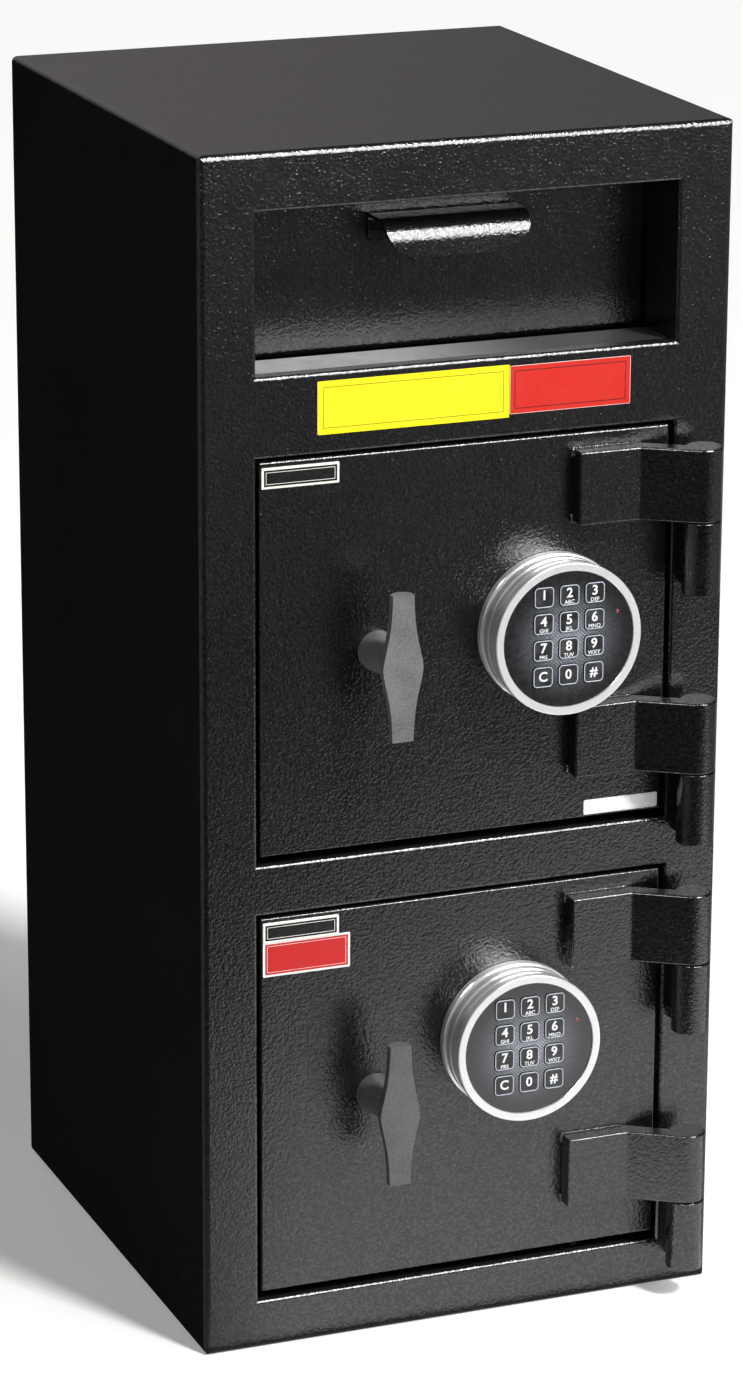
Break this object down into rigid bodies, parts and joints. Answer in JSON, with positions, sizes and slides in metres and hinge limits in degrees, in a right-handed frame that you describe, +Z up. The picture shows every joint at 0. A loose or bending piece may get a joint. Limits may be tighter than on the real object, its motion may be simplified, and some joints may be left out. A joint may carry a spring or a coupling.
{
  "type": "drop safe",
  "caption": "Tall front-loading drop safe: tilting deposit drawer over two hinged, separately locked doors with round keypads and T handles.",
  "frame": {"origin": "centre of the body's base face, on the floor", "axes": "+Z up, the doors face -Y, +X to the right of someone facing the doors (hinge side)"},
  "size_m": [0.368, 0.427, 0.813],
  "materials": {
    "black_paint": "black textured enamel, semi-gloss",
    "bare_steel": "plain machined steel",
    "zinc_plate": "dull zinc-plated sheet",
    "satin_grey": "satin grey metallic coat on a casting",
    "chrome_ring": "bright chrome plate",
    "gloss_black": "smooth black face plate with a faint pattern",
    "key_rubber": "smooth moulded keys, light numerals",
    "lock_zinc": "die-cast lock body, dull",
    "lock_brass": "plain brass"
  },
  "bodies": {
    "safe_body": {"body_shell": "black_paint", "front_frame": "black_paint", "back_panel": "black_paint", "compartment_divider": "black_paint", "hopper_housing": "black_paint", "sill_pan": "zinc_plate", "saw_tooth_baffle": "bare_steel", "bolt_keepers": "black_paint", "hinge_knuckles": "black_paint", "hinge_pins": "bare_steel", "drawer_pivot_pins": "bare_steel"},
    "deposit_drawer": {"drawer_face": "black_paint", "drawer_pull": "black_paint", "drawer_tray": "bare_steel"},
    "upper_door_leaf": {"upper_door": "black_paint", "upper_hinge_arms": "black_paint", "upper_bolt_guides": "bare_steel", "upper_lock_case": "lock_zinc", "upper_keypad_housing": "chrome_ring", "upper_keypad_face": "gloss_black"},
    "upper_handle_set": {"upper_handle": "satin_grey", "upper_handle_spindle": "bare_steel"},
    "upper_bolt_work": {"upper_bolt_carriage": "zinc_plate", "upper_locking_bolts": "bare_steel"},
    "upper_lock_bolt_slide": {"upper_lock_bolt": "lock_brass"},
    "upper_key_1_cap": {"upper_key_1": "key_rubber"},
    "upper_key_2_cap": {"upper_key_2": "key_rubber"},
    "upper_key_3_cap": {"upper_key_3": "key_rubber"},
    "upper_key_4_cap": {"upper_key_4": "key_rubber"},
    "upper_key_5_cap": {"upper_key_5": "key_rubber"},
    "upper_key_6_cap": {"upper_key_6": "key_rubber"},
    "upper_key_7_cap": {"upper_key_7": "key_rubber"},
    "upper_key_8_cap": {"upper_key_8": "key_rubber"},
    "upper_key_9_cap": {"upper_key_9": "key_rubber"},
    "upper_key_clear_cap": {"upper_key_clear": "key_rubber"},
    "upper_key_0_cap": {"upper_key_0": "key_rubber"},
    "upper_key_hash_cap": {"upper_key_hash": "key_rubber"},
    "lower_door_leaf": {"lower_door": "black_paint", "lower_hinge_arms": "black_paint", "lower_bolt_guides": "bare_steel", "lower_lock_case": "lock_zinc", "lower_keypad_housing": "chrome_ring", "lower_keypad_face": "gloss_black"},
    "lower_handle_set": {"lower_handle": "satin_grey", "lower_handle_spindle": "bare_steel"},
    "lower_bolt_work": {"lower_bolt_carriage": "zinc_plate", "lower_locking_bolts": "bare_steel"},
    "lower_lock_bolt_slide": {"lower_lock_bolt": "lock_brass"},
    "lower_key_1_cap": {"lower_key_1": "key_rubber"},
    "lower_key_2_cap": {"lower_key_2": "key_rubber"},
    "lower_key_3_cap": {"lower_key_3": "key_rubber"},
    "lower_key_4_cap": {"lower_key_4": "key_rubber"},
    "lower_key_5_cap": {"lower_key_5": "key_rubber"},
    "lower_key_6_cap": {"lower_key_6": "key_rubber"},
    "lower_key_7_cap": {"lower_key_7": "key_rubber"},
    "lower_key_8_cap": {"lower_key_8": "key_rubber"},
    "lower_key_9_cap": {"lower_key_9": "key_rubber"},
    "lower_key_clear_cap": {"lower_key_clear": "key_rubber"},
    "lower_key_0_cap": {"lower_key_0": "key_rubber"},
    "lower_key_hash_cap": {"lower_key_hash": "key_rubber"}
  },
  "joints": [
    {"name": "deposit_drawer_tilt", "type": "hinge", "parent": "safe_body", "child": "deposit_drawer", "pos_m": [0, -0.1255, 0.6788], "axis": [1, 0, 0], "range_deg": [0, 45]},
    {"name": "upper_door_swing", "type": "hinge", "parent": "safe_body", "child": "upper_door_leaf", "pos_m": [0.1565, -0.2145, 0.48083], "axis": [0, 0, 1], "range_deg": [0, 170]},
    {"name": "upper_handle_turn", "type": "hinge", "parent": "upper_door_leaf", "child": "upper_handle_set", "pos_m": [-0.063, -0.1905, 0.48083], "axis": [0, -1, 0], "range_deg": [0, 90]},
    {"name": "upper_bolt_work_throw", "type": "slide", "parent": "upper_door_leaf", "child": "upper_bolt_work", "axis": [-1, 0, 0], "range_m": [0, 0.0198]},
    {"name": "upper_lock_bolt_travel", "type": "slide", "parent": "upper_door_leaf", "child": "upper_lock_bolt_slide", "axis": [0, 0, -1], "range_m": [0, 0.008]},
    {"name": "upper_key_1_press", "type": "slide", "parent": "upper_door_leaf", "child": "upper_key_1_cap", "axis": [0, 1, 0], "range_m": [0, 0.0008], "stiffness_N_per_m": 1200},
    {"name": "upper_key_2_press", "type": "slide", "parent": "upper_door_leaf", "child": "upper_key_2_cap", "axis": [0, 1, 0], "range_m": [0, 0.0008], "stiffness_N_per_m": 1200},
    {"name": "upper_key_3_press", "type": "slide", "parent": "upper_door_leaf", "child": "upper_key_3_cap", "axis": [0, 1, 0], "range_m": [0, 0.0008], "stiffness_N_per_m": 1200},
    {"name": "upper_key_4_press", "type": "slide", "parent": "upper_door_leaf", "child": "upper_key_4_cap", "axis": [0, 1, 0], "range_m": [0, 0.0008], "stiffness_N_per_m": 1200},
    {"name": "upper_key_5_press", "type": "slide", "parent": "upper_door_leaf", "child": "upper_key_5_cap", "axis": [0, 1, 0], "range_m": [0, 0.0008], "stiffness_N_per_m": 1200},
    {"name": "upper_key_6_press", "type": "slide", "parent": "upper_door_leaf", "child": "upper_key_6_cap", "axis": [0, 1, 0], "range_m": [0, 0.0008], "stiffness_N_per_m": 1200},
    {"name": "upper_key_7_press", "type": "slide", "parent": "upper_door_leaf", "child": "upper_key_7_cap", "axis": [0, 1, 0], "range_m": [0, 0.0008], "stiffness_N_per_m": 1200},
    {"name": "upper_key_8_press", "type": "slide", "parent": "upper_door_leaf", "child": "upper_key_8_cap", "axis": [0, 1, 0], "range_m": [0, 0.0008], "stiffness_N_per_m": 1200},
    {"name": "upper_key_9_press", "type": "slide", "parent": "upper_door_leaf", "child": "upper_key_9_cap", "axis": [0, 1, 0], "range_m": [0, 0.0008], "stiffness_N_per_m": 1200},
    {"name": "upper_key_clear_press", "type": "slide", "parent": "upper_door_leaf", "child": "upper_key_clear_cap", "axis": [0, 1, 0], "range_m": [0, 0.0008], "stiffness_N_per_m": 1200},
    {"name": "upper_key_0_press", "type": "slide", "parent": "upper_door_leaf", "child": "upper_key_0_cap", "axis": [0, 1, 0], "range_m": [0, 0.0008], "stiffness_N_per_m": 1200},
    {"name": "upper_key_hash_press", "type": "slide", "parent": "upper_door_leaf", "child": "upper_key_hash_cap", "axis": [0, 1, 0], "range_m": [0, 0.0008], "stiffness_N_per_m": 1200},
    {"name": "lower_door_swing", "type": "hinge", "parent": "safe_body", "child": "lower_door_leaf", "pos_m": [0.1565, -0.2145, 0.17297], "axis": [0, 0, 1], "range_deg": [0, 170]},
    {"name": "lower_handle_turn", "type": "hinge", "parent": "lower_door_leaf", "child": "lower_handle_set", "pos_m": [-0.063, -0.1905, 0.17297], "axis": [0, -1, 0], "range_deg": [0, 90]},
    {"name": "lower_bolt_work_throw", "type": "slide", "parent": "lower_door_leaf", "child": "lower_bolt_work", "axis": [-1, 0, 0], "range_m": [0, 0.0198]},
    {"name": "lower_lock_bolt_travel", "type": "slide", "parent": "lower_door_leaf", "child": "lower_lock_bolt_slide", "axis": [0, 0, -1], "range_m": [0, 0.008]},
    {"name": "lower_key_1_press", "type": "slide", "parent": "lower_door_leaf", "child": "lower_key_1_cap", "axis": [0, 1, 0], "range_m": [0, 0.0008], "stiffness_N_per_m": 1200},
    {"name": "lower_key_2_press", "type": "slide", "parent": "lower_door_leaf", "child": "lower_key_2_cap", "axis": [0, 1, 0], "range_m": [0, 0.0008], "stiffness_N_per_m": 1200},
    {"name": "lower_key_3_press", "type": "slide", "parent": "lower_door_leaf", "child": "lower_key_3_cap", "axis": [0, 1, 0], "range_m": [0, 0.0008], "stiffness_N_per_m": 1200},
    {"name": "lower_key_4_press", "type": "slide", "parent": "lower_door_leaf", "child": "lower_key_4_cap", "axis": [0, 1, 0], "range_m": [0, 0.0008], "stiffness_N_per_m": 1200},
    {"name": "lower_key_5_press", "type": "slide", "parent": "lower_door_leaf", "child": "lower_key_5_cap", "axis": [0, 1, 0], "range_m": [0, 0.0008], "stiffness_N_per_m": 1200},
    {"name": "lower_key_6_press", "type": "slide", "parent": "lower_door_leaf", "child": "lower_key_6_cap", "axis": [0, 1, 0], "range_m": [0, 0.0008], "stiffness_N_per_m": 1200},
    {"name": "lower_key_7_press", "type": "slide", "parent": "lower_door_leaf", "child": "lower_key_7_cap", "axis": [0, 1, 0], "range_m": [0, 0.0008], "stiffness_N_per_m": 1200},
    {"name": "lower_key_8_press", "type": "slide", "parent": "lower_door_leaf", "child": "lower_key_8_cap", "axis": [0, 1, 0], "range_m": [0, 0.0008], "stiffness_N_per_m": 1200},
    {"name": "lower_key_9_press", "type": "slide", "parent": "lower_door_leaf", "child": "lower_key_9_cap", "axis": [0, 1, 0], "range_m": [0, 0.0008], "stiffness_N_per_m": 1200},
    {"name": "lower_key_clear_press", "type": "slide", "parent": "lower_door_leaf", "child": "lower_key_clear_cap", "axis": [0, 1, 0], "range_m": [0, 0.0008], "stiffness_N_per_m": 1200},
    {"name": "lower_key_0_press", "type": "slide", "parent": "lower_door_leaf", "child": "lower_key_0_cap", "axis": [0, 1, 0], "range_m": [0, 0.0008], "stiffness_N_per_m": 1200},
    {"name": "lower_key_hash_press", "type": "slide", "parent": "lower_door_leaf", "child": "lower_key_hash_cap", "axis": [0, 1, 0], "range_m": [0, 0.0008], "stiffness_N_per_m": 1200}
  ],
  "couplings": [
    {"joint": "upper_bolt_work_throw", "follows": "upper_handle_turn", "m_per_rad": 0.012605},
    {"joint": "lower_bolt_work_throw", "follows": "lower_handle_turn", "m_per_rad": 0.012605}
  ]
}
